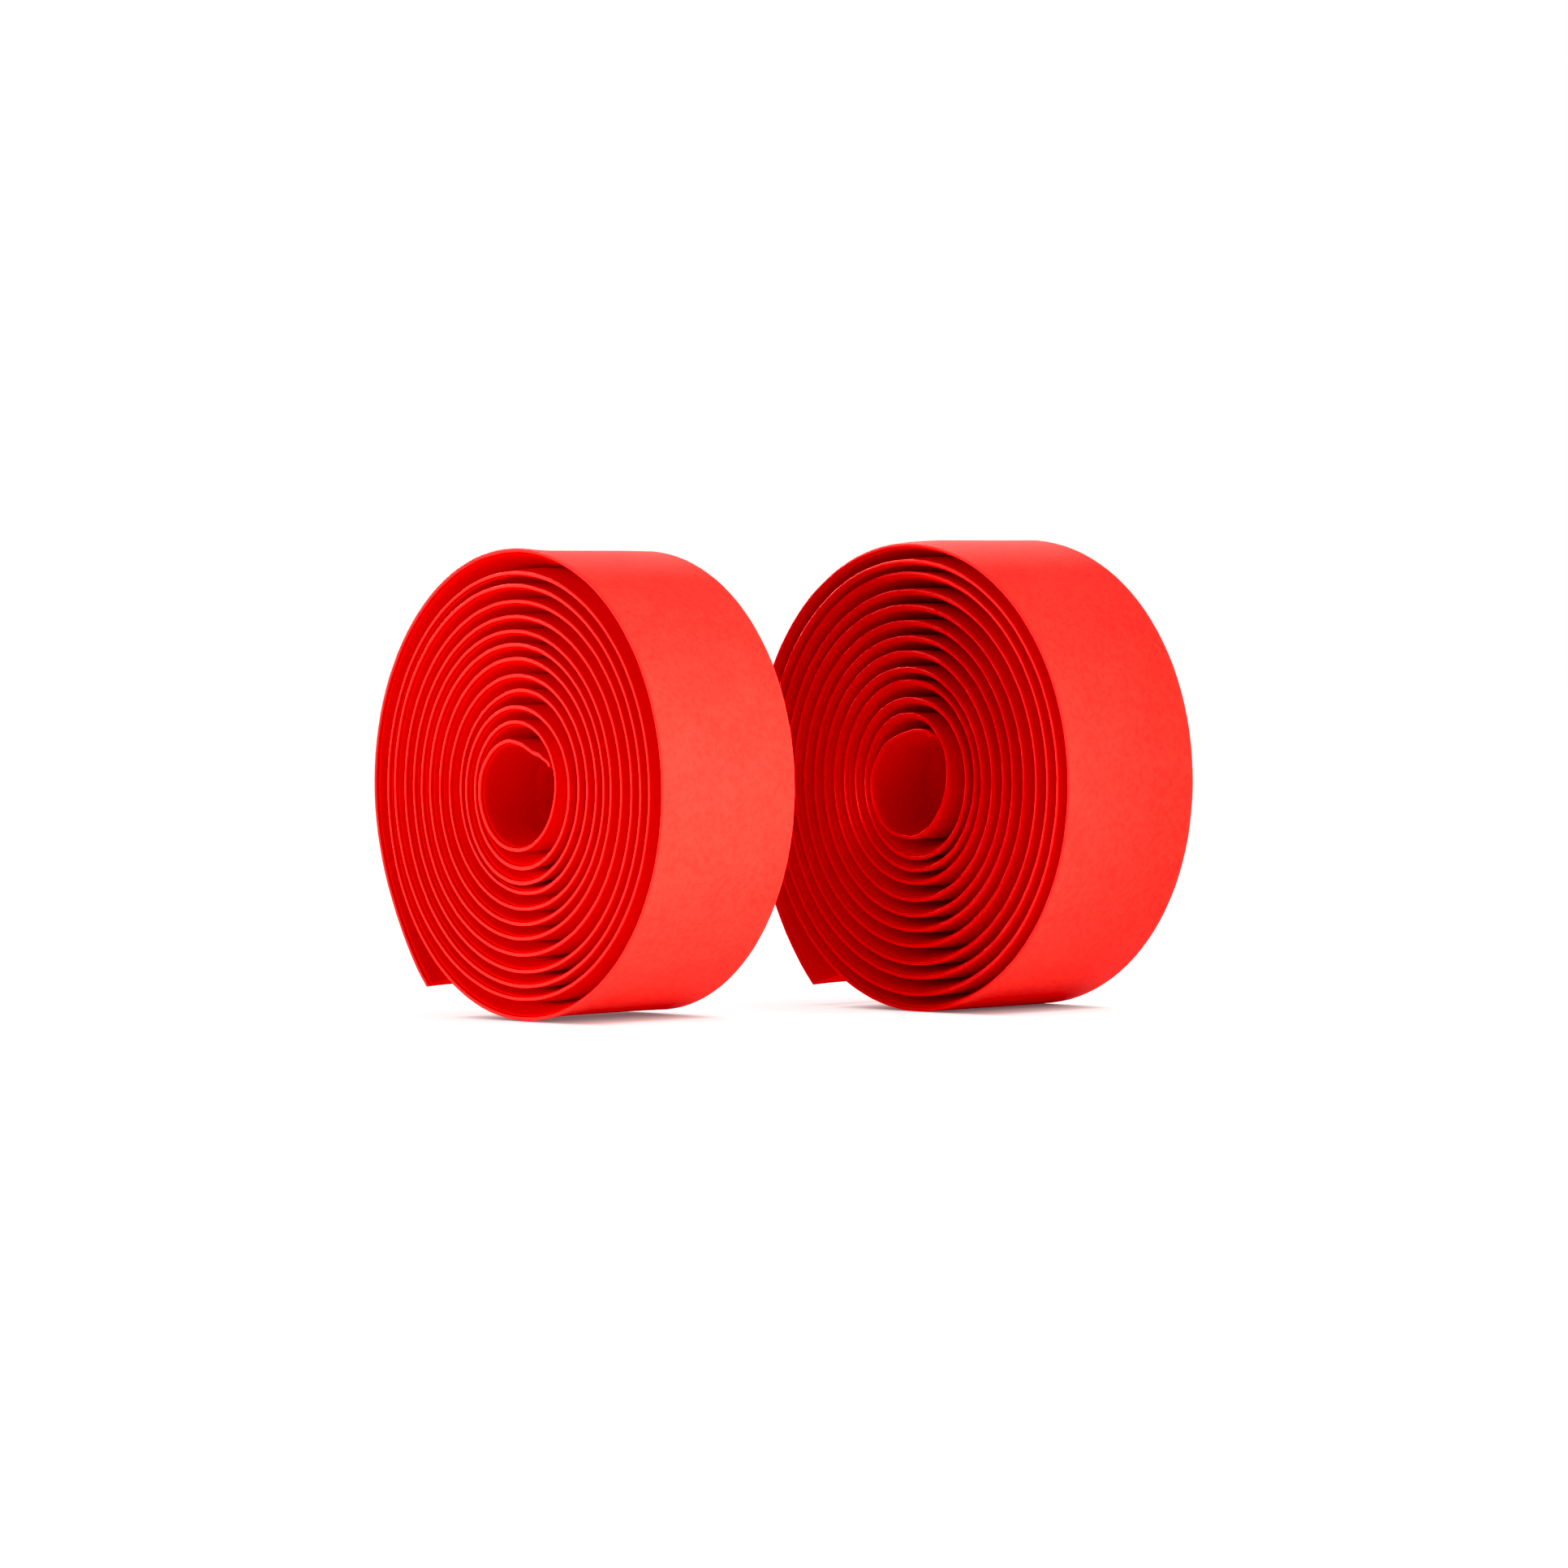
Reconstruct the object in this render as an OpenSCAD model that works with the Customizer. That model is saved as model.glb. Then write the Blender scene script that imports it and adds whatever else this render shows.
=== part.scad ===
// A pair of handlebar tape rolls standing side by side, each wound as a flat spiral with a free outer end.
// Roll axes run along Y, +Z is up, and the origin is at the bottom centre of the pair.

/* [Tape] */
// Width of the tape
tape_w = 30; // [24:0.5:36]
// Thickness of the microfibre facing
facing_t = 0.7; // [0.5:0.05:1]
// Thickness of the foam backing along the middle of the tape
foam_t = 1.8; // [1.2:0.05:2.4]
// Thickness of the foam backing at the tape's two edges
foam_edge_t = 0.4; // [0.2:0.05:0.8]
// Width of the slope that thins the foam towards each edge
bevel_w = 7.5; // [5:0.25:9]
// Width of the gel grip strip on the foam
gel_w = 10; // [6:0.5:12]
// Thickness of the gel grip strip
gel_t = 0.1; // [0.05:0.01:0.2]

/* [First roll] */
// Outer-face radius at which the first roll's spiral starts
first_start_r = 9; // [7.5:0.1:12]
// Air left between turns of the first roll
first_slack = 0.14; // [0.1:0.01:0.4]
// How much tighter the first roll's inner curl is than its spiral
first_curl_in = 0.8; // [0.4:0.05:1.5]
// Radius of the first roll's flatter inner end
first_end_r = 14; // [11:0.5:40]
// Extra radius of the first roll's outermost arc, which springs away from the turn inside it
first_spring = 0.33; // [0.1:0.01:1]
// Radius of the first roll's free tail
first_tail_r = 66; // [55:1:90]
// Length of the first roll's free tail
first_tail_len = 27; // [15:0.5:30]

/* [Second roll] */
// Outer-face radius at which the second roll's spiral starts
second_start_r = 8.7; // [7.5:0.1:12]
// Air left between turns of the second roll
second_slack = 0.24; // [0.1:0.01:0.4]
// How much tighter the second roll's inner curl is than its spiral
second_curl_in = 0.5; // [0.4:0.05:1.5]
// Radius of the second roll's flatter inner end
second_end_r = 30; // [11:0.5:40]
// Extra radius of the second roll's outermost arc, which springs away from the turn inside it
second_spring = 0.13; // [0.1:0.01:1]
// Radius of the second roll's free tail
second_tail_r = 74; // [55:1:90]
// Length of the second roll's free tail
second_tail_len = 27.5; // [15:0.5:30]

/* [Winding] */
// Whole turns between the inner curl and the free outer half-turn
turns = 12; // [6:1:14]
// Angle at which the free tail leaves the roll
tail_angle = 198; // [190:1:205]
// Clearance between the inner end's tip and the second turn
end_gap = 0.3; // [0.2:0.05:1]
// Cut in the tape at the hinge line where the tail bends
hinge_gap = 0.7; // [0.5:0.05:1]

/* [Spacing] */
// Distance between the roll axes along X
offset_x = 37; // [20:1:60]
// Distance between the rolls' front faces along Y
offset_y = 61.5; // [40:0.5:90]

/* [Hidden] */
$fn = 96;

// One roll's values in a list, read by these indices
START_R = 0;
SLACK = 1;
CURL_IN = 2;
END_R = 3;
SPRING = 4;
TAIL_R = 5;
TAIL_LEN = 6;
FIRST = [
    first_start_r, first_slack, first_curl_in, first_end_r,
    first_spring, first_tail_r, first_tail_len
];
SECOND = [
    second_start_r, second_slack, second_curl_in, second_end_r,
    second_spring, second_tail_r, second_tail_len
];

// An arc is [centre, outer-face radius, start angle, sweep], seen from the front with Z up.
// The wound part is half-turns whose centres alternate by half a pitch, so each arc runs
// smoothly into the next one.
stack_t = facing_t + foam_t + gel_t;
function dir(a) = [cos(a), sin(a)];
function pitch(roll) = stack_t + roll[SLACK];
function spiral_r(roll, a) = roll[START_R] + pitch(roll) * a / 360;
function half_turn(roll, a) =
    [[-cos(a) * pitch(roll) / 4, 0], spiral_r(roll, a + 90), a, 180];
function next_arc(arc, radius, sweep) =
    let (a = arc[2] + arc[3])
    [arc[0] + (arc[1] - radius) * dir(a), radius, a, sweep];
function curl(roll) =
    let (radius = roll[START_R] - roll[CURL_IN])
    [[radius - spiral_r(roll, 180), 0], radius, 180, -90];
function last_turn(roll) = half_turn(roll, 360 * turns - 180);
function outer_arc(roll) =
    let (radius = last_turn(roll)[1] + pitch(roll) / 2 + roll[SPRING])
    next_arc(last_turn(roll), radius, tail_angle);
function tail_sweep(roll, length) = length / roll[TAIL_R] * 180 / PI;
function tail_arc(roll) =
    let (whole = next_arc(outer_arc(roll), roll[TAIL_R], 0))
    let (cut = tail_sweep(roll, hinge_gap))
    [whole[0], whole[1], whole[2] + cut, tail_sweep(roll, roll[TAIL_LEN]) - cut];

// The inner end is a flatter arc that stops where its outer face comes within end_gap of the
// second turn, which is where it meets a circle of that radius round the roll's axis
function end_arc(roll) =
    let (whole = next_arc(curl(roll), roll[END_R], 0))
    let (out = norm(whole[0]))
    let (reach = roll[START_R] + roll[SLACK] - end_gap)
    let (bend = acos((reach * reach - out * out - whole[1] * whole[1]) / (2 * out * whole[1])))
    let (tip = atan2(whole[0].y, whole[0].x) + bend)
    [whole[0], whole[1], whole[2], tip - whole[2]];
function wound_arcs(roll) = concat(
    [end_arc(roll), curl(roll)],
    [for (k = [1 : 2 * turns - 1]) half_turn(roll, 180 * k)],
    [outer_arc(roll)]
);

// Both rolls stand on their lowest turn, and the pair is centred on the origin
function left_x(roll) = outer_arc(roll)[0].x - outer_arc(roll)[1];
function right_x(roll) = last_turn(roll)[0].x + last_turn(roll)[1];
pair_left = min(left_x(FIRST), offset_x + left_x(SECOND));
pair_right = max(right_x(FIRST), offset_x + right_x(SECOND));
first_x = -(pair_left + pair_right) / 2;
first_y = -(offset_y + tape_w) / 2;
first_at = [first_x, first_y, last_turn(FIRST)[1]];
second_at = [first_x + offset_x, first_y + offset_y, last_turn(SECOND)[1]];

// Sections of the tape: X is the distance from the arc's centre, Y runs back across the width
module facing_section() {
    translate([$outer_r - facing_t, -tape_w])
        square([facing_t, tape_w]);
}
module foam_section() {
    top = $outer_r - facing_t;
    polygon([
        [top, 0], [top - foam_edge_t, 0], [top - foam_t, -bevel_w],
        [top - foam_t, bevel_w - tape_w], [top - foam_edge_t, -tape_w], [top, -tape_w]
    ]);
}
module gel_section() {
    translate([$outer_r - stack_t, -(tape_w + gel_w) / 2])
        square([gel_t, gel_w]);
}

// Sweep a section round each arc in turn
module wind(arcs) {
    for (arc = arcs) {
        $outer_r = arc[1];
        translate([arc[0].x, 0, arc[0].y])
            rotate([90, 0, 0])
                rotate_extrude(start = arc[2], angle = arc[3])
                    children();
    }
}
module wound(roll, at) {
    translate(at)
        wind(wound_arcs(roll)) children();
}
module tail(roll, at) {
    translate(at)
        wind([tail_arc(roll)]) children();
}

module first_facing() {
    color("#F5392C") wound(FIRST, first_at) facing_section();
}
module first_foam_backing() {
    color("#D40A08") wound(FIRST, first_at) foam_section();
}
module first_gel_strip() {
    color("#A81018") wound(FIRST, first_at) gel_section();
}
module first_tail_facing() {
    color("#F5392C") tail(FIRST, first_at) facing_section();
}
module first_tail_foam_backing() {
    color("#D40A08") tail(FIRST, first_at) foam_section();
}
module first_tail_gel_strip() {
    color("#A81018") tail(FIRST, first_at) gel_section();
}
module second_facing() {
    color("#F5392C") wound(SECOND, second_at) facing_section();
}
module second_foam_backing() {
    color("#D40A08") wound(SECOND, second_at) foam_section();
}
module second_gel_strip() {
    color("#A81018") wound(SECOND, second_at) gel_section();
}
module second_tail_facing() {
    color("#F5392C") tail(SECOND, second_at) facing_section();
}
module second_tail_foam_backing() {
    color("#D40A08") tail(SECOND, second_at) foam_section();
}
module second_tail_gel_strip() {
    color("#A81018") tail(SECOND, second_at) gel_section();
}

first_facing();
first_foam_backing();
first_gel_strip();
first_tail_facing();
first_tail_foam_backing();
first_tail_gel_strip();
second_facing();
second_foam_backing();
second_gel_strip();
second_tail_facing();
second_tail_foam_backing();
second_tail_gel_strip();
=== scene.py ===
"""Looks for a pair of rolls of padded handlebar tape, each wound as a flat spiral and standing on edge.

Each roll's tape is a microfibre facing on a foam backing with a thin gel strip down its middle. One
geometry tree per roll winds every layer, and the same tree makes the free tail from the hinge line on.
"""
import math

import bpy
from mathutils import Matrix, Vector


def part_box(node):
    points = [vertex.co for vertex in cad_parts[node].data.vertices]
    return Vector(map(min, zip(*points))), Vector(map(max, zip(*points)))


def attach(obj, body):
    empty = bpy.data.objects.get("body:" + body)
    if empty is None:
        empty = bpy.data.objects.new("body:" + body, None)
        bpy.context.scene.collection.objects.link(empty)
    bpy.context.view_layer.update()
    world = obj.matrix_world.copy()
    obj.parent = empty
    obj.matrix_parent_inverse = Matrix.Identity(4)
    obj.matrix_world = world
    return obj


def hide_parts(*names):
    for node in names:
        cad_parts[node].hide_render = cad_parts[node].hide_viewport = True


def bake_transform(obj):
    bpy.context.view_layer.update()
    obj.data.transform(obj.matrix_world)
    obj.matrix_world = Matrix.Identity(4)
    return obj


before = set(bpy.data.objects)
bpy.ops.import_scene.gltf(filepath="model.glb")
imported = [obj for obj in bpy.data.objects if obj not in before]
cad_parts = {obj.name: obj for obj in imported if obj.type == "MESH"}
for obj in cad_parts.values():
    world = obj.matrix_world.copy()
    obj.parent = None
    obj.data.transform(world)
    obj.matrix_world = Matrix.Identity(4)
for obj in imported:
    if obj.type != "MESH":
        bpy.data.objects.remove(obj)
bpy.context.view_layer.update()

bl_info = {
    "name": "Handlebar tape rolls",
    "version": (1, 0, 0),
    "blender": (4, 5, 0),
    "location": "View3D > Sidebar > Tape rolls",
    "description": "Winds a pair of padded handlebar tape rolls with loose outer ends",
    "category": "Object",
}

MM = 0.001  # a millimetre in metres
FEWEST_RINGS = 12  # cross-sections in the shortest piece of tape

# Angles along the tape are in whole turns from the roll's right-hand side, anticlockwise from the front.
HINGE_TURN = 12.55  # where the free tail leaves the roll
TURN_SPAN = 13.0    # the longest winding that the unevenness curves cover
INNER_SPAN = 1.4    # turns from the inner end that have an unevenness of their own
TAIL_FROM = 12.45   # where the tail's curve starts
TAIL_SPAN = 0.2     # turns past TAIL_FROM that the tail's curve covers
TAIL_EASE = 0.45    # turns before TAIL_FROM over which the tape eases out to the tail's curve
CURVE_REACH = 6.0   # millimetres of offset from the bottom to the top of an unevenness curve

LEAN_DEPTH = 9 * MM      # how far in from each edge of the tape its lean reaches
# Rounding of each layer's corners
FACING_CORNER = 0.2 * MM
FOAM_CORNER = 0.1 * MM
GEL_CORNER = 0.03 * MM

# How far the front edge leans out from the tape's middle, as (turn, millimetres). Hand-wound tape is
# never quite regular.
FIRST_LEAN = (
    (0, 0), (0.5, 0.1), (1, -0.2), (1.5, 0.2), (2, 1.1), (2.25, -0.1), (2.5, 0.2), (3, 1), (3.25, 0.2),
    (3.5, -1), (3.75, -0.3), (4, 0.8), (4.25, 0.1), (4.5, -0.3), (4.75, -0.1), (5, 0.7), (5.5, 0),
    (6, 0), (6.5, 0.3), (7, -0.6), (7.5, 0.3), (8, -0.3), (8.5, -0.1), (8.75, 0.3), (9, -0.1),
    (9.5, -0.3), (9.75, 0.2), (10, -0.5), (10.5, 0.2), (11, -0.7), (11.5, -0.2), (11.75, 0.6),
    (12, 0.2), (12.25, 0.45), (12.5, 0.4), (13, 0.4),
)
SECOND_LEAN = (
    (0, 0), (0.5, 0.1), (1, 0), (1.5, 0.1), (2, 1.2), (2.25, 0), (2.5, -0.1), (3, 0.5), (3.5, 0.2),
    (4, -0.5), (4.5, 0.2), (5, -0.3), (5.5, 0.3), (6, -0.4), (6.5, 0.1), (7, -0.6), (7.5, 0.2),
    (8, -0.6), (8.5, 0.3), (9, -0.1), (9.5, -0.2), (10, 0), (10.5, 0.2), (11, -0.3), (11.25, -0.5),
    (11.75, 0), (12, -0.3), (12.25, -0.5), (12.5, 0.3), (13, 0.3),
)
# The innermost turn is only held on one side, so its whole width is flatter than the spiral.
FIRST_INNER = ((0, 0), (0.1, 0), (0.17, -1.2), (0.23, -1.2), (0.3, -0.5), (0.4, 0), (1, 0), (1.4, 0))
SECOND_INNER = (
    (0, 0), (0.2, 0), (0.3, -0.6), (0.38, -0.2), (0.5, 0), (0.72, 0), (0.84, -0.8), (0.93, -1.2),
    (1, -1), (1.12, -0.3), (1.25, 0), (1.4, 0),
)
# Its front edge also leans out towards the second turn, above all at the cut inner end.
FIRST_INNER_LEAN = (
    (0, 1.7), (0.065, 1.5), (0.11, 0.2), (0.17, -0.1), (0.25, 0), (0.3, 0), (0.4, 0.6), (0.5, 1.4),
    (0.6, 1.2), (0.75, 0.3), (0.94, -0.4), (1.05, 0), (1.4, 0),
)
SECOND_INNER_LEAN = (
    (0, 1.2), (0.155, 1.1), (0.215, 0.3), (0.3, -0.1), (0.4, 0.1), (0.51, 1.1), (0.61, 1.1), (0.73, 0),
    (0.84, -0.2), (1, -0.1), (1.12, 0), (1.4, 0),
)
# The tail springs away from the roll.
FIRST_TAIL = (
    (12.45, 0.5), (12.5, 0.45), (12.55, 0.35), (12.59, 0.65), (12.605, 1.1), (12.625, 1.8), (12.65, 2.8),
)
SECOND_TAIL = (
    (12.45, 0.2), (12.5, 0.3), (12.55, 0.5), (12.59, 1), (12.615, 1.6), (12.635, 2.3), (12.65, 2.8),
)

# Each layer of the tape: its name, its material slot and its finish
LAYERS = (
    ("facing", "facing", "microfibre_facing"),
    ("foam_backing", "foam", "foam_backing"),
    ("gel_strip", "gel", "gel_strip"),
)

PAIR_MIDDLE = (0, 0, 0.042)
WHITE = (1, 1, 1)
WARM = (1, 0.98, 0.95)
# Square lights as (name, place, target, side, watts, spread in degrees, colour). The narrow ones mostly
# reach one roll each: near and face brighten the first, and the rims brighten each roll's top from the left.
LIGHTS = (
    ("side", (0.5, 0.16, 0.15), PAIR_MIDDLE, 0.2, 1.65, 180, WARM),
    ("near", (0.3, 0.02, 0.045), (0, -0.046, 0.036), 0.08, 0.06, 30, WARM),
    ("top", (0.15, 0.18, 0.6), PAIR_MIDDLE, 0.4, 1.4, 180, WHITE),
    ("first rim", (-0.46, -0.034, 0.345), (-0.018, -0.031, 0.087), 0.05, 0.045, 12, WHITE),
    ("second rim", (-0.42, 0.034, 0.345), (0.019, 0.031, 0.087), 0.05, 0.064, 12, WHITE),
    ("front", (-0.45, -0.95, 0.1), PAIR_MIDDLE, 0.2, 9, 180, WHITE),
    ("face", (0.33, -0.52, 0.06), (-0.03, -0.061, 0.042), 0.06, 0.003, 14, WHITE),
)
FLOOR_REACH = 6.0            # half the floor's side, in metres
FLOOR_GLOW = 0.75
PAINTED_SHADOW_REACH = 6 * MM       # how far from the rolls the floor's glow is dimmed, as a painted contact shadow
ROOM_WAY = (0.77, -0.64, 0)  # towards the dimmer side of the studio
CAMERA_PLACE = (0.7793, -0.6462, 0.0632)
# The camera's angles, in degrees
CAMERA_TURN = 50.26
CAMERA_TILT = -1.22
CAMERA_ROLL = -0.92
CAMERA_LENS = 127.3
BLACK_LEVEL = (0.0, 0.03, 0.022)  # red, green and blue; it deepens the reds


class TapeSizes(bpy.types.PropertyGroup):
    """Sizes of the tape, which both rolls share."""

    width: bpy.props.FloatProperty(
        name="Width", description="Width of the tape", default=30 * MM, unit="LENGTH"
    )
    facing: bpy.props.FloatProperty(
        name="Facing", description="Thickness of the microfibre facing", default=0.7 * MM, unit="LENGTH"
    )
    slack: bpy.props.FloatProperty(
        name="Slack", description="Air left between turns along the tape's middle", default=0.02 * MM,
        unit="LENGTH",
    )
    foam_edge: bpy.props.FloatProperty(
        name="Foam edge", description="Thickness of the foam at its edges", default=0.3 * MM, unit="LENGTH"
    )
    foam_inset: bpy.props.FloatProperty(
        name="Foam inset", description="How far the foam's edges lie inside the facing's", default=0.6 * MM,
        unit="LENGTH",
    )
    bevel: bpy.props.FloatProperty(
        name="Bevel", description="Width of the slope that thins the foam", default=7.5 * MM, unit="LENGTH"
    )
    gel_width: bpy.props.FloatProperty(
        name="Gel width", description="Width of the gel grip strip", default=10 * MM, unit="LENGTH"
    )
    gel: bpy.props.FloatProperty(
        name="Gel", description="Thickness of the gel grip strip", default=0.1 * MM, unit="LENGTH"
    )
    rings: bpy.props.IntProperty(
        name="Rings", description="Cross-sections in one turn", default=110, min=24
    )


class TapeColours(bpy.types.PropertyGroup):
    """Colours of the tape's three layers and of the floor."""

    facing: bpy.props.FloatVectorProperty(
        name="Facing", description="Microfibre on the outside", subtype="COLOR", default=(0.78, 0.037, 0.024)
    )
    # Lighter colour of the cut edges: a painted highlight, partly wear
    facing_edge_highlight_and_wear: bpy.props.FloatVectorProperty(
        name="Facing edge", description="Microfibre along its cut edges", subtype="COLOR",
        default=(0.82, 0.038, 0.028),
    )
    foam: bpy.props.FloatVectorProperty(
        name="Foam", description="Foam on the inside", subtype="COLOR", default=(0.88, 0.006, 0.004)
    )
    gel: bpy.props.FloatVectorProperty(
        name="Gel", description="Gel grip strip", subtype="COLOR", default=(0.78, 0.004, 0.004)
    )
    floor: bpy.props.FloatVectorProperty(
        name="Floor", description="Pale floor", subtype="COLOR", default=(0.4, 0.4, 0.4)
    )


class RollShape(bpy.types.PropertyGroup):
    """One roll's winding."""

    start_radius: bpy.props.FloatProperty(
        name="Start radius", description="Outer-face radius where the winding starts", default=9 * MM,
        unit="LENGTH",
    )
    pitch: bpy.props.FloatProperty(
        name="Pitch", description="Growth of the radius in one turn", default=2.74 * MM, unit="LENGTH"
    )
    inner_turn: bpy.props.FloatProperty(
        name="Inner end", description="Turn at which the inner end is cut", default=0.065
    )
    outer_turn: bpy.props.FloatProperty(
        name="Outer end", description="Turn at which the tail is cut", default=12.644
    )
    centre: bpy.props.FloatVectorProperty(
        name="Centre", description="Middle of the roll", subtype="TRANSLATION", default=(0, 0, 42 * MM)
    )
    seed: bpy.props.FloatProperty(
        name="Seed", description="Picks the fine unevenness", default=0
    )


class Wire:
    """An output socket that Python expressions can work with."""

    def __init__(self, plan, socket):
        self.plan = plan
        self.socket = socket

    def maths(self, operation, first, second=None):
        return self.plan.wire("ShaderNodeMath", {"operation": operation}, (first, second))

    def __add__(self, other):
        return self.maths("ADD", self, other)

    def __radd__(self, other):
        return self.maths("ADD", other, self)

    def __sub__(self, other):
        return self.maths("SUBTRACT", self, other)

    def __rsub__(self, other):
        return self.maths("SUBTRACT", other, self)

    def __mul__(self, other):
        return self.maths("MULTIPLY", self, other)

    def __rmul__(self, other):
        return self.maths("MULTIPLY", other, self)

    def __truediv__(self, other):
        return self.maths("DIVIDE", self, other)

    def __rtruediv__(self, other):
        return self.maths("DIVIDE", other, self)

    def __pow__(self, other):
        return self.maths("POWER", self, other)

    def __abs__(self):
        return self.maths("ABSOLUTE", self)

    def cosine(self):
        return self.maths("COSINE", self)

    def sine(self):
        return self.maths("SINE", self)

    def at_least(self, other):
        return self.maths("MAXIMUM", self, other)

    def at_most(self, other):
        return self.maths("MINIMUM", self, other)

    def between(self, low, high):
        """0 below low, 1 above high, and an even ramp in between, reversed if low is above high."""
        return self.plan.wire("ShaderNodeMapRange", {}, (self, low, high, 0.0, 1.0))


class Plan:
    """A node tree being drawn up."""

    def __init__(self, tree):
        self.tree = tree

    def node(self, kind, settings=None, values=()):
        """Add a node, apply its settings, then set or link its inputs by position or by name."""
        made = self.tree.nodes.new(kind)
        for name, value in (settings or {}).items():
            setattr(made, name, value)
        pairs = values.items() if isinstance(values, dict) else enumerate(values)
        for key, value in pairs:
            if isinstance(value, Wire):
                self.tree.links.new(value.socket, made.inputs[key])
            elif value is not None:
                made.inputs[key].default_value = value
        return made

    def wire(self, kind, settings=None, values=(), output=0):
        """Add a node and return one of its outputs, by position or by name."""
        return Wire(self, self.node(kind, settings, values).outputs[output])

    def mix_colour(self, factor, first, second):
        """The first colour where the factor is 0, the second where it is 1."""
        made = self.node("ShaderNodeMix", {"data_type": "RGBA", "blend_type": "MIX"})
        for key, value in ((0, factor), (6, first), (7, second)):
            if isinstance(value, Wire):
                self.tree.links.new(value.socket, made.inputs[key])
            else:
                made.inputs[key].default_value = value
        return Wire(self, made.outputs[2])

    def uneven(self, turn, points, start=0.0, span=TURN_SPAN):
        """Offset in metres from (turn, millimetres) points on a smooth curve."""
        made = self.node("ShaderNodeFloatCurve", {}, (1.0, (turn - start) / span))
        mapping = made.mapping
        mapping.use_clip = False
        mapping.extend = "HORIZONTAL"
        line = mapping.curves[0].points
        spots = [((t - start) / span, 0.5 + mm / CURVE_REACH) for t, mm in points]
        for spot in spots[1:-1]:
            line.new(*spot)
        line[0].location = spots[0]
        line[len(spots) - 1].location = spots[-1]
        mapping.update()
        return (Wire(self, made.outputs[0]) - 0.5) * (CURVE_REACH * MM)


# ---------------------------------------------------------------- winding


def section_points(width, outer, inner, corner, steps):
    """Closed outline of a strip's section as (outwards, towards the front), with rounded corners.
    outer is the offset of its outer face, and inner(depth) that of its inner face."""
    half = width / 2
    depths = [*steps, half, *[width - d for d in reversed(steps)]]
    points = [(outer, half - d) for d in reversed(depths)]
    lip = inner(0)

    def arc(x, y, start):
        for k in range(3):
            a = math.radians(start + 45 * k)
            points.append((x + corner * math.cos(a), y + corner * math.sin(a)))

    arc(outer - corner, half - corner, 0)
    arc(lip + corner, half - corner, 90)
    points.extend((inner(min(d, width - d)), half - d) for d in depths)
    arc(lip + corner, corner - half, 180)
    arc(outer - corner, corner - half, 270)
    return points


def section_curve(name, points):
    """A closed flat curve through a section's points."""
    data = bpy.data.curves.new(name, "CURVE")
    data.dimensions = "3D"
    line = data.splines.new("POLY")
    line.points.add(len(points) - 1)
    for point, (out, across) in zip(line.points, points):
        point.co = (out, across, 0, 1)
    line.use_cyclic_u = True
    obj = bpy.data.objects.new(name, data)
    bpy.context.scene.collection.objects.link(obj)
    return obj


def layer_sections(sizes, pitch):
    """Section curves of the facing, the foam and the gel strip, measured from the facing's outer face.
    Steps are how far in from its edges a section has points."""
    steps = [depth * MM for depth in (0.9, 2, 3.4, 5.2, 7.5, 10.5)]
    gel_steps = [2.5 * MM]
    foam = pitch - sizes.facing - sizes.gel - sizes.slack
    gone = -sizes.facing
    bottom = gone - foam

    def foam_inside(depth):
        share = min(depth / sizes.bevel, 1)
        return gone - sizes.foam_edge - (foam - sizes.foam_edge) * share

    return {
        "facing": section_curve("facing_section", section_points(
            sizes.width, 0, lambda depth: gone, FACING_CORNER, steps)),
        "foam_backing": section_curve("foam_section", section_points(
            sizes.width - 2 * sizes.foam_inset, gone, foam_inside, FOAM_CORNER, steps)),
        "gel_strip": section_curve("gel_section", section_points(
            sizes.gel_width, bottom, lambda depth: bottom - sizes.gel, GEL_CORNER, gel_steps)),
    }


TAPE_INPUTS = (
    ("Section", "NodeSocketObject"), ("Material", "NodeSocketMaterial"), ("From turn", "NodeSocketFloat"),
    ("To turn", "NodeSocketFloat"), ("Rings", "NodeSocketInt"), ("Start radius", "NodeSocketFloat"),
    ("Pitch", "NodeSocketFloat"), ("Width", "NodeSocketFloat"), ("Centre", "NodeSocketVector"),
    ("Seed", "NodeSocketFloat"),
)


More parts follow.
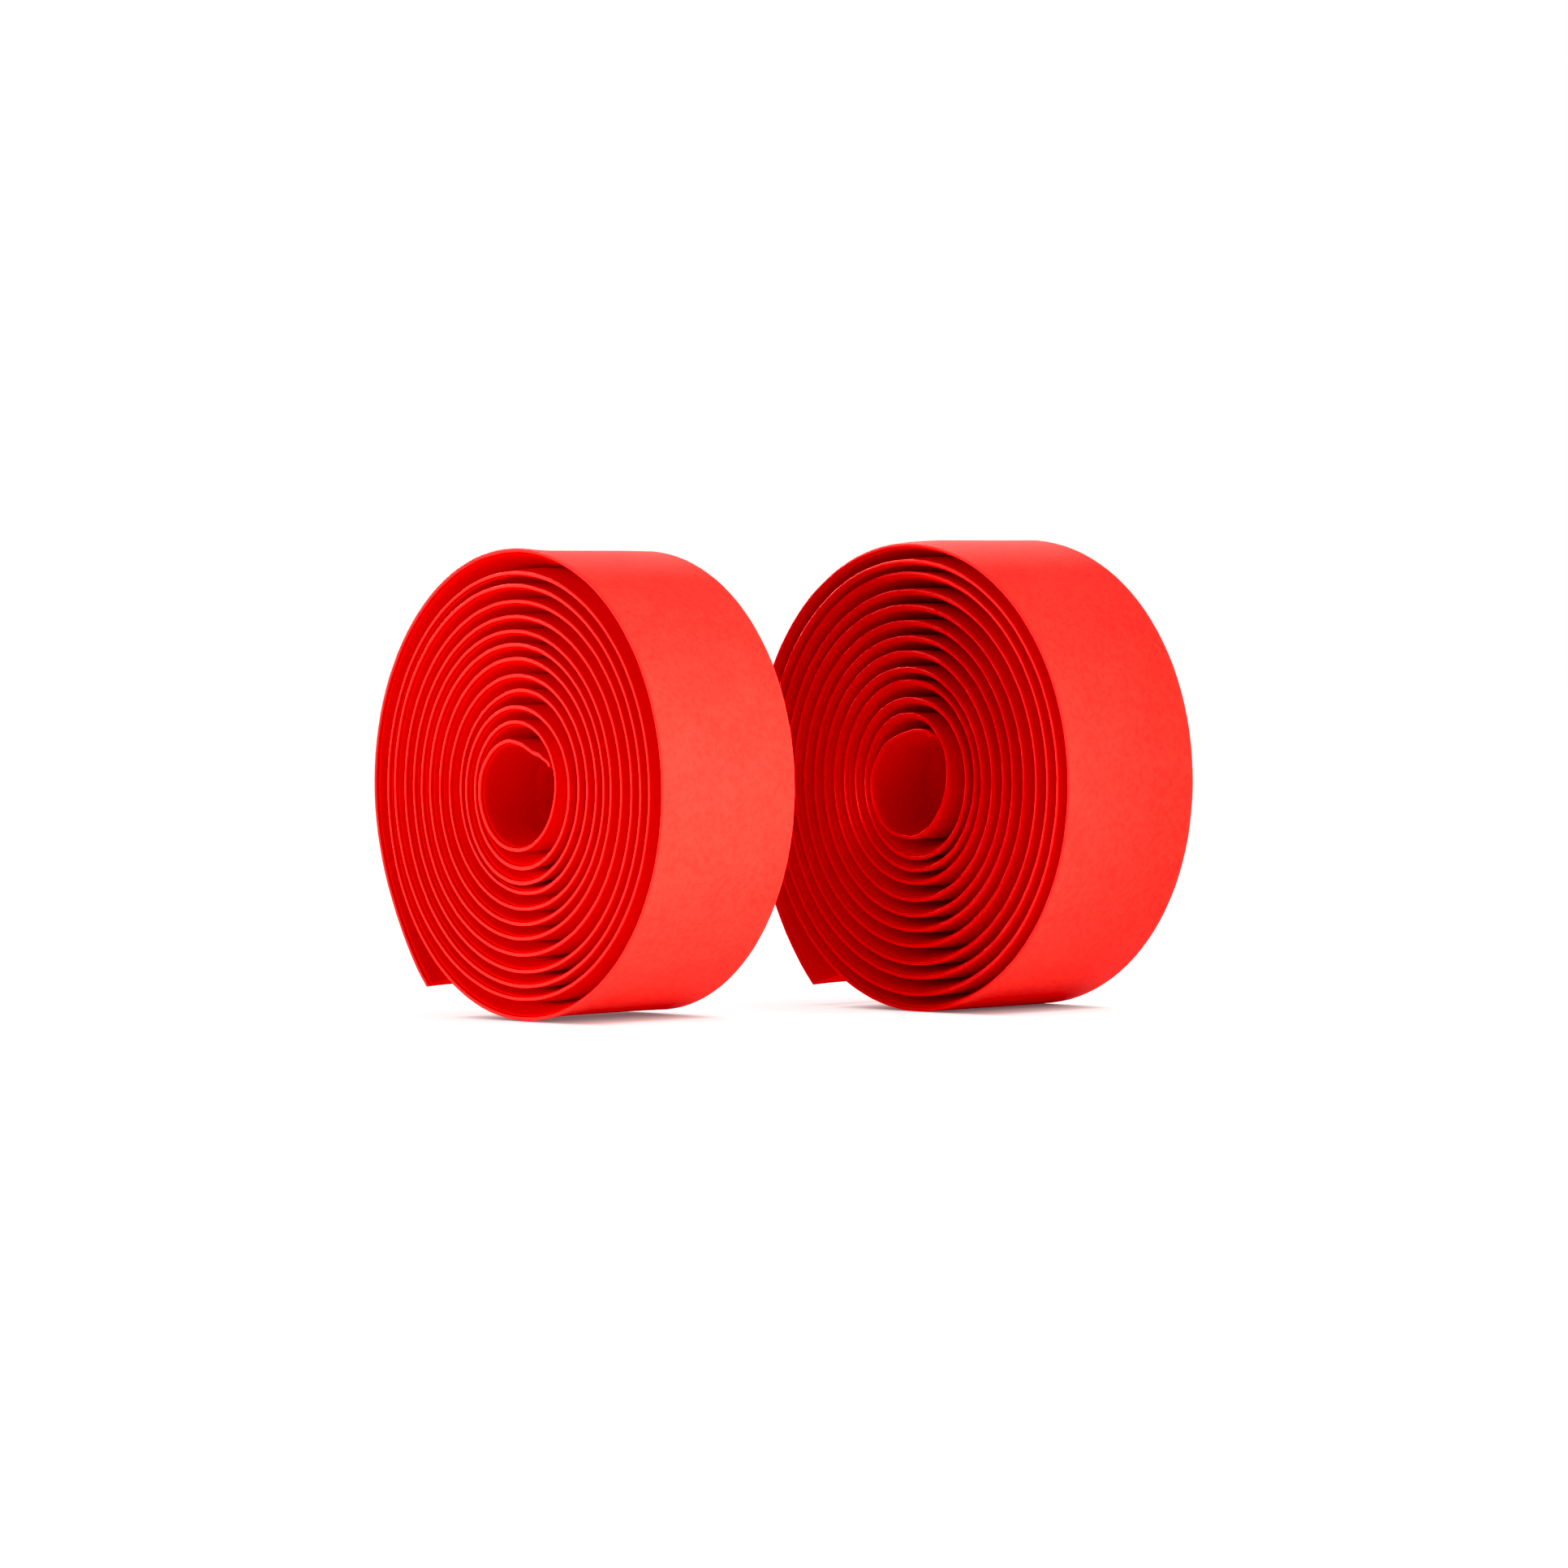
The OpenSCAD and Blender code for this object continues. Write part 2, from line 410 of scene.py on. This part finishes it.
def tape_tree(name, lean, inner, inner_lean, tail):
    """Tree that winds one layer of a roll between two turns of its spiral."""
    tree = bpy.data.node_groups.new(name, "GeometryNodeTree")
    for label, kind in TAPE_INPUTS:
        tree.interface.new_socket(label, in_out="INPUT", socket_type=kind)
    tree.interface.new_socket("Tape", in_out="OUTPUT", socket_type="NodeSocketGeometry")
    plan = Plan(tree)
    given = plan.node("NodeGroupInput").outputs
    value = {label: Wire(plan, given[label]) for label, kind in TAPE_INPUTS}

    # A straight line of points, each of which knows its turn, bent into the spiral
    line = plan.wire("GeometryNodeCurvePrimitiveLine", {}, {"End": (1, 0, 0)})
    line = plan.wire("GeometryNodeResampleCurve", {}, {"Curve": line, "Count": value["Rings"]})
    factor = plan.wire("GeometryNodeSplineParameter")
    turn_of = value["From turn"] + (value["To turn"] - value["From turn"]) * factor
    keep = plan.node("GeometryNodeCaptureAttribute", {"domain": "POINT"})
    keep.capture_items.new("FLOAT", "Turn")
    tree.links.new(line.socket, keep.inputs[0])
    tree.links.new(turn_of.socket, keep.inputs[1])
    line = Wire(plan, keep.outputs[0])
    turn = Wire(plan, keep.outputs[1])
    spring = plan.uneven(turn.at_least(TAIL_FROM), tail, TAIL_FROM, TAIL_SPAN)
    drift = plan.uneven(turn.at_most(INNER_SPAN), inner, 0.0, INNER_SPAN)
    drift = drift + spring * turn.between(TAIL_FROM - TAIL_EASE, TAIL_FROM)
    radius = value["Start radius"] + value["Pitch"] * turn + drift
    angle = turn * math.tau
    spot = plan.wire("ShaderNodeCombineXYZ", {}, (radius * angle.cosine(), radius * angle.sine()))
    line = plan.wire("GeometryNodeSetPosition", {}, {"Geometry": line, "Position": spot})
    line = plan.wire("GeometryNodeSetCurveNormal", {"mode": "Z_UP"}, {"Curve": line})

    # Sweep the layer's section along it
    section = plan.wire("GeometryNodeObjectInfo", {}, {"Object": value["Section"]}, output="Geometry")
    tape = plan.wire("GeometryNodeCurveToMesh", {}, {
        "Curve": line, "Profile Curve": section, "Fill Caps": True})

    # Lean the front and back edges, and let the whole width wander a little in depth
    place = plan.wire("GeometryNodeInputPosition")
    apart = plan.node("ShaderNodeSeparateXYZ", {}, (place,))
    east, north, across = (Wire(plan, socket) for socket in apart.outputs)
    straight = value["Width"] / 2 - LEAN_DEPTH
    front = (across - straight).between(0, LEAN_DEPTH) ** 2
    back = (straight * -1 - across).between(0, LEAN_DEPTH) ** 2
    front_lean = plan.uneven(turn, lean)
    front_lean = front_lean + plan.uneven(turn.at_most(INNER_SPAN), inner_lean, 0.0, INNER_SPAN)

    def wander(scale, offset, detail=1.0):
        """Noise from -0.5 to 0.5 with scale waves in a turn. Each use has an offset of its own."""
        noise = plan.wire("ShaderNodeTexNoise", {"noise_dimensions": "1D"}, {
            "W": turn * scale + value["Seed"] + offset, "Scale": 1.0, "Detail": detail})
        return noise - 0.5

    back_lean = wander(2.3, 7.0) * (1.3 * MM)
    fine = wander(60.0, 3.0, 2.0) * (0.12 * MM)
    outwards = front * (front_lean + fine) + back * (back_lean + fine)
    outwards = outwards / radius
    depth = wander(1.7, 21.0) * (0.5 * MM) + wander(45.0, 11.0) * (0.06 * MM) * (front + back)
    shift = plan.wire("ShaderNodeCombineXYZ", {}, (east * outwards, north * outwards, depth))
    tape = plan.wire("GeometryNodeSetPosition", {}, {"Geometry": tape, "Offset": shift})
    for label, field in (("across", across / (value["Width"] / 2)), ("turn", turn)):
        tape = plan.wire("GeometryNodeStoreNamedAttribute", {"data_type": "FLOAT", "domain": "POINT"}, {
            "Geometry": tape, "Name": label, "Value": field})

    # Stand the roll up on its place
    tape = plan.wire("GeometryNodeTransform", {}, {
        "Geometry": tape, "Rotation": (math.pi / 2, 0, 0), "Translation": value["Centre"]})
    tape = plan.wire("GeometryNodeRealizeInstances", {}, {"Geometry": tape})
    tape = plan.wire("GeometryNodeSetMaterial", {}, {"Geometry": tape, "Material": value["Material"]})
    plan.node("NodeGroupOutput", {}, (tape,))
    return tree


def grow(name, tree, values):
    """Run a geometry tree on an empty mesh and return the result as a plain object."""
    source = bpy.data.objects.new(name + "_source", bpy.data.meshes.new(name + "_source"))
    bpy.context.scene.collection.objects.link(source)
    modifier = source.modifiers.new("Tape", "NODES")
    modifier.node_group = tree
    for item in tree.interface.items_tree:
        if item.item_type == "SOCKET" and item.in_out == "INPUT":
            modifier[item.identifier] = values[item.name]
    evaluated = source.evaluated_get(bpy.context.evaluated_depsgraph_get())
    mesh = bpy.data.meshes.new_from_object(evaluated)
    bpy.data.objects.remove(source)
    mesh.name = name
    mesh.shade_smooth()
    mesh.set_sharp_from_angle(angle=math.radians(50))
    made = bpy.data.objects.new(name, mesh)
    bpy.context.scene.collection.objects.link(made)
    return made


def tape_length(shape, start, end):
    """Length of the tape between two turns."""
    steps = 400
    share = (end - start) / steps
    turns = (start + share * (k + 0.5) for k in range(steps))
    return sum((shape.start_radius + shape.pitch * turn) * share * math.tau for turn in turns)


# ---------------------------------------------------------------- finishes


def new_material(name):
    """An empty material and the plan of its nodes."""
    material = bpy.data.materials.new(name)
    material.use_nodes = True
    material.node_tree.nodes.clear()
    return material, Plan(material.node_tree)


def opaque(colour):
    """A colour with its alpha."""
    return (*colour, 1.0)


def finish_surface(plan, shader):
    """Make a shader the material's surface."""
    output = plan.node("ShaderNodeOutputMaterial")
    plan.tree.links.new(shader.socket, output.inputs["Surface"])


def facing_material(colours):
    """Matt microfibre with a faint mottled nap, and a painted highlight, partly wear, lightening its cut
    edges.
    """
    material, plan = new_material("microfibre_facing")
    place = plan.wire("ShaderNodeTexCoord", {}, {}, output="Object")
    across = plan.wire("ShaderNodeAttribute", {"attribute_name": "across"}, {}, output="Fac")

    def noise(scale, detail, rough):
        return plan.wire("ShaderNodeTexNoise", {}, {
            "Vector": place, "Scale": scale, "Detail": detail, "Roughness": rough})

    nap = noise(900.0, 3.0, 0.65)
    cloud = noise(150.0, 3.0, 0.6)
    specks = plan.wire("ShaderNodeTexVoronoi", {}, {"Vector": place, "Scale": 420.0})
    edge = abs(across).between(0.955, 0.995)
    red, green, blue = colours.facing
    dark = (red * 0.9, green * 0.68, blue * 0.68)
    colour = plan.mix_colour(nap.between(0.36, 0.6) * 0.75 + cloud.between(0.35, 0.65) * 0.25,
                             opaque(dark), opaque(colours.facing))
    colour = plan.mix_colour(specks.between(0.16, 0.06) * cloud.between(0.5, 0.6) * 0.6, colour, opaque(dark))
    # Painted highlight, partly wear: the cut edges are lightened where their rounded lips catch the light
    colour = plan.mix_colour(edge * 0.8, colour, opaque(colours.facing_edge_highlight_and_wear))
    bump = plan.wire("ShaderNodeBump", {}, {
        "Strength": 0.5, "Distance": 0.06 * MM, "Height": nap + cloud * 0.5})
    shader = plan.wire("ShaderNodeBsdfPrincipled", {}, {
        "Base Color": colour, "Roughness": nap * 0.2 + 0.62, "Normal": bump, "Specular IOR Level": 0.08})
    finish_surface(plan, shader)
    return material


def foam_material(colours):
    """Matt foam with fine cells, with painted shade darkening the innermost turn and a painted highlight,
    partly wear, lightening its edges.
    """
    material, plan = new_material("foam_backing")
    place = plan.wire("ShaderNodeTexCoord", {}, {}, output="Object")
    across = plan.wire("ShaderNodeAttribute", {"attribute_name": "across"}, {}, output="Fac")
    turn = plan.wire("ShaderNodeAttribute", {"attribute_name": "turn"}, {}, output="Fac")
    cells = plan.wire("ShaderNodeTexVoronoi", {}, {"Vector": place, "Scale": 2600.0})
    cloud = plan.wire("ShaderNodeTexNoise", {}, {"Vector": place, "Scale": 300.0, "Detail": 3.0})
    edge = abs(across).between(0.96, 0.995)
    dark = tuple(c * 0.8 for c in colours.foam)
    painted_eye_shade = tuple(c * 0.5 for c in colours.foam)
    colour = plan.mix_colour(cells.between(0.1, 0.6) * 0.5 + cloud * 0.5, opaque(dark), opaque(colours.foam))
    # Painted shade: the innermost turn, deep in the roll's eye, is darkened towards half its colour
    colour = plan.mix_colour(turn.between(1.15, 0.95) * 0.45, colour, opaque(painted_eye_shade))
    # Painted highlight, partly wear: the foam's edges take the facing's lighter edge colour
    colour = plan.mix_colour(edge * 0.85, colour, opaque(colours.facing_edge_highlight_and_wear))
    bump = plan.wire("ShaderNodeBump", {}, {
        "Strength": 0.4, "Distance": 0.05 * MM, "Height": cells + cloud * 0.6})
    shader = plan.wire("ShaderNodeBsdfPrincipled", {}, {
        "Base Color": colour, "Roughness": cells * 0.15 + 0.8, "Normal": bump, "Specular IOR Level": 0.05})
    finish_surface(plan, shader)
    return material


def gel_material(colours):
    """Smooth gel strip with a faint gloss."""
    material, plan = new_material("gel_strip")
    place = plan.wire("ShaderNodeTexCoord", {}, {}, output="Object")
    cloud = plan.wire("ShaderNodeTexNoise", {}, {"Vector": place, "Scale": 420.0, "Detail": 2.0})
    dark = tuple(c * 0.75 for c in colours.gel)
    colour = plan.mix_colour(cloud, opaque(dark), opaque(colours.gel))
    bump = plan.wire("ShaderNodeBump", {}, {"Strength": 0.3, "Distance": 0.05 * MM, "Height": cloud})
    shader = plan.wire("ShaderNodeBsdfPrincipled", {}, {
        "Base Color": colour, "Roughness": cloud * 0.15 + 0.5, "Normal": bump, "Specular IOR Level": 0.15})
    finish_surface(plan, shader)
    return material


def floor_material(colours):
    """Pale floor with a glow of its own, which is dimmed close to whatever stands on it as a painted contact
    shadow.
    """
    material, plan = new_material("pale_floor")
    open_above_for_painted_shadow = plan.wire("ShaderNodeAmbientOcclusion", {"samples": 16}, {"Distance": PAINTED_SHADOW_REACH},
                           output="AO")
    # Painted contact shadow: the floor's glow falls to a tenth where something stands close above it
    glow = plan.mix_colour(open_above_for_painted_shadow, (0.1, 0.1, 0.1, 1.0), (1.0, 1.0, 1.0, 1.0))
    shader = plan.wire("ShaderNodeBsdfPrincipled", {}, {
        "Base Color": opaque(colours.floor), "Roughness": 0.9, "Specular IOR Level": 0.1,
        "Emission Color": glow, "Emission Strength": FLOOR_GLOW})
    finish_surface(plan, shader)
    return material


# ---------------------------------------------------------------- operators


def wind_roll(scene, which, tree):
    """Make a roll's wound layers and its tail's, and tie the wound layers to the roll's body."""
    sizes = scene.tape_sizes
    shape = getattr(scene, which + "_roll")
    sections = layer_sections(sizes, shape.pitch)
    spans = (("", shape.inner_turn, HINGE_TURN), ("tail_", HINGE_TURN, shape.outer_turn))
    for part, start, end in spans:
        rings = max(FEWEST_RINGS, round((end - start) * sizes.rings)) + 1
        made = {}
        for layer, slot, finish in LAYERS:
            node = f"{which}_{part}{layer}"
            made[layer] = grow(node + "_look", tree, {
                "Section": sections[layer], "Material": bpy.data.materials[finish],
                "From turn": start, "To turn": end, "Rings": rings, "Start radius": shape.start_radius,
                "Pitch": shape.pitch, "Width": sizes.width, "Centre": list(shape.centre),
                "Seed": shape.seed})
            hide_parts(node)
        if part:
            for piece in made.values():
                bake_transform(piece)
        else:
            for piece in made.values():
                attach(piece, which + "_roll")
        tape_length(shape, start, end)
    for section in sections.values():
        bpy.data.objects.remove(section)


class TAPE_OT_finishes(bpy.types.Operator):
    """Make the finishes of the facing, the foam and the gel strip"""

    bl_idname = "tape.finishes"
    bl_label = "Finishes"

    def execute(self, context):
        colours = context.scene.tape_colours
        facing_material(colours)
        foam_material(colours)
        gel_material(colours)
        return {"FINISHED"}


class TAPE_OT_first_roll(bpy.types.Operator):
    """Wind the first roll with its free tail"""

    bl_idname = "tape.first_roll"
    bl_label = "First roll"

    def execute(self, context):
        tree = tape_tree("First tape", FIRST_LEAN, FIRST_INNER, FIRST_INNER_LEAN, FIRST_TAIL)
        wind_roll(context.scene, "first", tree)
        return {"FINISHED"}


class TAPE_OT_second_roll(bpy.types.Operator):
    """Wind the second roll with its free tail"""

    bl_idname = "tape.second_roll"
    bl_label = "Second roll"

    def execute(self, context):
        tree = tape_tree("Second tape", SECOND_LEAN, SECOND_INNER, SECOND_INNER_LEAN, SECOND_TAIL)
        wind_roll(context.scene, "second", tree)
        return {"FINISHED"}


def lay_floor(scene):
    """Lay the floor under the rolls."""
    mesh = bpy.data.meshes.new("floor")
    corners = [(x * FLOOR_REACH, y * FLOOR_REACH, 0) for x, y in ((-1, -1), (1, -1), (1, 1), (-1, 1))]
    mesh.from_pydata(corners, [], [(0, 1, 2, 3)])
    mesh.materials.append(floor_material(scene.tape_colours))
    floor = bpy.data.objects.new("floor", mesh)
    scene.collection.objects.link(floor)


def light_studio(scene):
    """A white world that is dimmer on one side."""
    world = bpy.data.worlds.new("Studio")
    world.use_nodes = True
    plan = Plan(world.node_tree)
    way = plan.wire("ShaderNodeTexCoord", {}, {}, output="Generated")
    room = plan.wire("ShaderNodeVectorMath", {"operation": "DOT_PRODUCT"}, (way, ROOM_WAY), output="Value")
    sky = plan.mix_colour(room.between(-0.1, 0.5), (1.0, 1.0, 1.0, 1.0), (0.25, 0.25, 0.25, 1.0))
    background = world.node_tree.nodes["Background"]
    world.node_tree.links.new(sky.socket, background.inputs["Color"])
    background.inputs["Strength"].default_value = 1.0
    scene.world = world


def soft_light(name, place, target, side, watts, spread, colour):
    """Hang a square light that shines on its target."""
    data = bpy.data.lights.new(name, "AREA")
    data.shape = "SQUARE"
    data.size = side
    data.energy = watts
    data.spread = math.radians(spread)
    data.color = colour
    lamp = bpy.data.objects.new(name, data)
    lamp.location = place
    lamp.rotation_euler = (Vector(target) - Vector(place)).to_track_quat("-Z", "Y").to_euler()
    bpy.context.scene.collection.objects.link(lamp)


def set_camera(scene):
    """Stand the camera in its place."""
    data = bpy.data.cameras.new("Camera")
    data.lens = CAMERA_LENS
    data.sensor_width = 36
    camera = bpy.data.objects.new("Camera", data)
    turn, tilt, roll = (math.radians(a) for a in (CAMERA_TURN, CAMERA_TILT, CAMERA_ROLL))
    ahead = Vector((-math.sin(turn) * math.cos(tilt), math.cos(turn) * math.cos(tilt), math.sin(tilt)))
    right = Vector((math.cos(turn), math.sin(turn), 0))
    above = right.cross(ahead)
    right, above = (right * math.cos(roll) + above * math.sin(roll),
                    above * math.cos(roll) - right * math.sin(roll))
    facing = Matrix((right, above, -ahead)).transposed().to_4x4()
    camera.matrix_world = Matrix.Translation(CAMERA_PLACE) @ facing
    scene.collection.objects.link(camera)
    scene.camera = camera


def set_view(scene):
    """Show the colours on the standard curve, with deeper reds."""
    scene.view_settings.view_transform = "Standard"
    scene.view_settings.use_curve_mapping = True
    deepen = scene.view_settings.curve_mapping
    deepen.black_level = BLACK_LEVEL
    deepen.update()


class TAPE_OT_stage(bpy.types.Operator):
    """Set the floor, the lights and the camera"""

    bl_idname = "tape.stage"
    bl_label = "Stage"

    def execute(self, context):
        scene = context.scene
        lay_floor(scene)
        light_studio(scene)
        for light in LIGHTS:
            soft_light(*light)
        set_camera(scene)
        set_view(scene)
        return {"FINISHED"}


class TAPE_PT_rolls(bpy.types.Panel):
    """Steps that make the tape rolls"""

    bl_idname = "TAPE_PT_rolls"
    bl_label = "Tape rolls"
    bl_space_type = "VIEW_3D"
    bl_region_type = "UI"
    bl_category = "Tape rolls"

    def draw(self, context):
        for step in STEPS:
            self.layout.operator(step.bl_idname)


STEPS = (TAPE_OT_finishes, TAPE_OT_first_roll, TAPE_OT_second_roll, TAPE_OT_stage)
CLASSES = (TapeSizes, TapeColours, RollShape, *STEPS, TAPE_PT_rolls)


def register():
    for each in CLASSES:
        bpy.utils.register_class(each)
    bpy.types.Scene.tape_sizes = bpy.props.PointerProperty(type=TapeSizes)
    bpy.types.Scene.tape_colours = bpy.props.PointerProperty(type=TapeColours)
    bpy.types.Scene.first_roll = bpy.props.PointerProperty(type=RollShape)
    bpy.types.Scene.second_roll = bpy.props.PointerProperty(type=RollShape)


def unregister():
    del bpy.types.Scene.second_roll
    del bpy.types.Scene.first_roll
    del bpy.types.Scene.tape_colours
    del bpy.types.Scene.tape_sizes
    for each in reversed(CLASSES):
        bpy.utils.unregister_class(each)


def place_rolls(scene):
    """Give the second roll its own winding, and put each roll where its CAD body stands."""
    first, second = scene.first_roll, scene.second_roll
    second.start_radius = 8.71 * MM
    second.pitch = 2.84 * MM
    second.inner_turn = 0.155
    second.outer_turn = 12.648
    second.seed = 40
    # Each roll's middle across the pair and above the floor, in millimetres
    middles = ((first, "first_facing", -17.93, 41.85), (second, "second_facing", 19.07, 42.07))
    for shape, node, x, z in middles:
        low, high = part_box(node)
        shape.centre = (x * MM, (low.y + high.y) / 2, z * MM)


def main():
    register()
    place_rolls(bpy.context.scene)
    bpy.ops.tape.finishes()
    bpy.ops.tape.first_roll()
    bpy.ops.tape.second_roll()
    bpy.ops.tape.stage()


if __name__ == "__main__":
    main()
